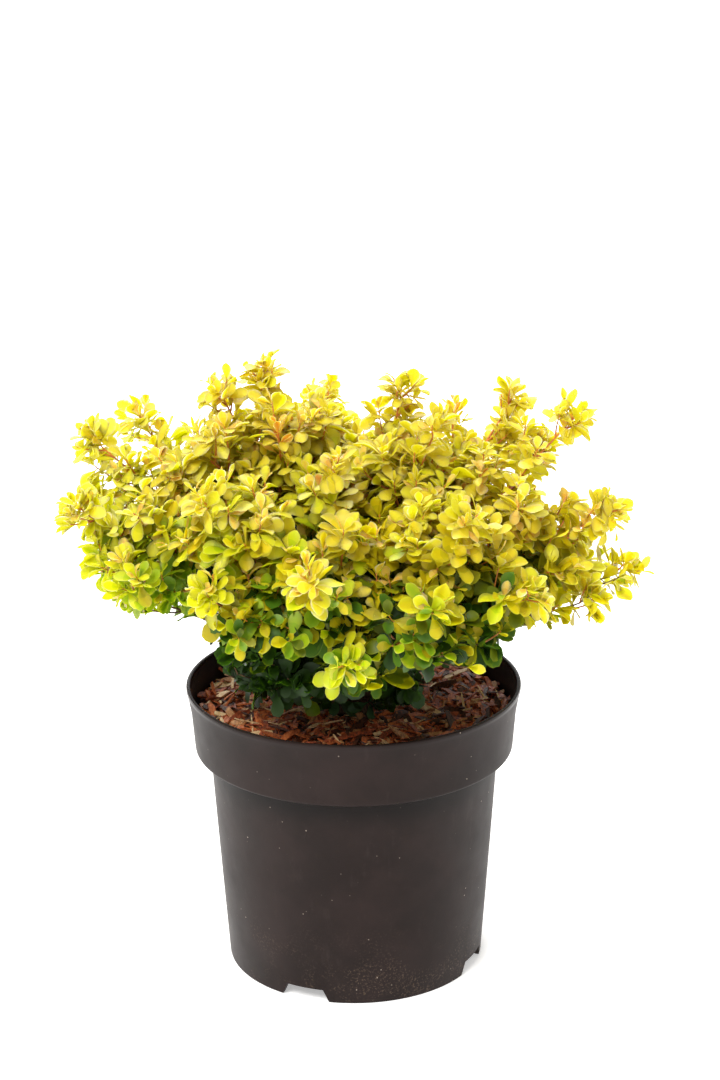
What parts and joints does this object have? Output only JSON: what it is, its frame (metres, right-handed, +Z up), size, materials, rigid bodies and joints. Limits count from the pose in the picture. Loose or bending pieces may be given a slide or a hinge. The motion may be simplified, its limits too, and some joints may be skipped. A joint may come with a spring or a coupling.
{
  "type": "potted japanese barberry",
  "caption": "Low mounded garden shrub with yellow-green leaves on spreading canes, growing in a round black plastic nursery pot of bark soil.",
  "frame": {"origin": "on the floor under the centre of the whole part, which is the pot's axis", "axes": "+Z up, -Y towards the pictured front, +X to the right in that view"},
  "size_m": [0.3464, 0.2999, 0.3712],
  "materials": {
    "pot": "satin moulded plastic, brown-black, dusty",
    "soil": "shredded red-brown bark, damp",
    "bark": "ridged grey-brown bark, orange on young wood",
    "foliage": "satin leaf, yellow to lime green, darker inside"
  },
  "bodies": {
    "root": {"bough_back": "bark", "bough_back_left": "bark", "bough_back_left_low": "bark", "bough_back_right": "bark", "bough_back_right_low": "bark", "bough_centre_top": "bark", "bough_crown": "bark", "bough_crown_right": "bark", "bough_far_left": "bark", "bough_far_right": "bark", "bough_front": "bark", "bough_front_left": "bark", "bough_front_left_high": "bark", "bough_front_right": "bark", "bough_front_right_high": "bark", "bough_left_low": "bark", "bough_left_top": "bark", "bough_left_up": "bark", "bough_mid_top": "bark", "bough_right": "bark", "bough_right_front": "bark", "bough_right_high": "bark", "bough_right_low": "bark", "bough_right_top": "bark", "bough_top": "bark", "bough_top_left": "bark", "foliage_back": "foliage", "foliage_back_left": "foliage", "foliage_back_left_low": "foliage", "foliage_back_right": "foliage", "foliage_back_right_low": "foliage", "foliage_centre_top": "foliage", "foliage_crown": "foliage", "foliage_crown_right": "foliage", "foliage_far_left": "foliage", "foliage_far_right": "foliage", "foliage_front": "foliage", "foliage_front_left": "foliage", "foliage_front_left_high": "foliage", "foliage_front_left_low": "foliage", "foliage_front_low": "foliage", "foliage_front_right": "foliage", "foliage_front_right_high": "foliage", "foliage_left_low": "foliage", "foliage_left_top": "foliage", "foliage_left_up": "foliage", "foliage_mid_top": "foliage", "foliage_right": "foliage", "foliage_right_front": "foliage", "foliage_right_front_low": "foliage", "foliage_right_high": "foliage", "foliage_right_low": "foliage", "foliage_right_top": "foliage", "foliage_top": "foliage", "foliage_top_left": "foliage", "pot": "pot", "soil": "soil", "stem": "bark"}
  },
  "joints": []
}
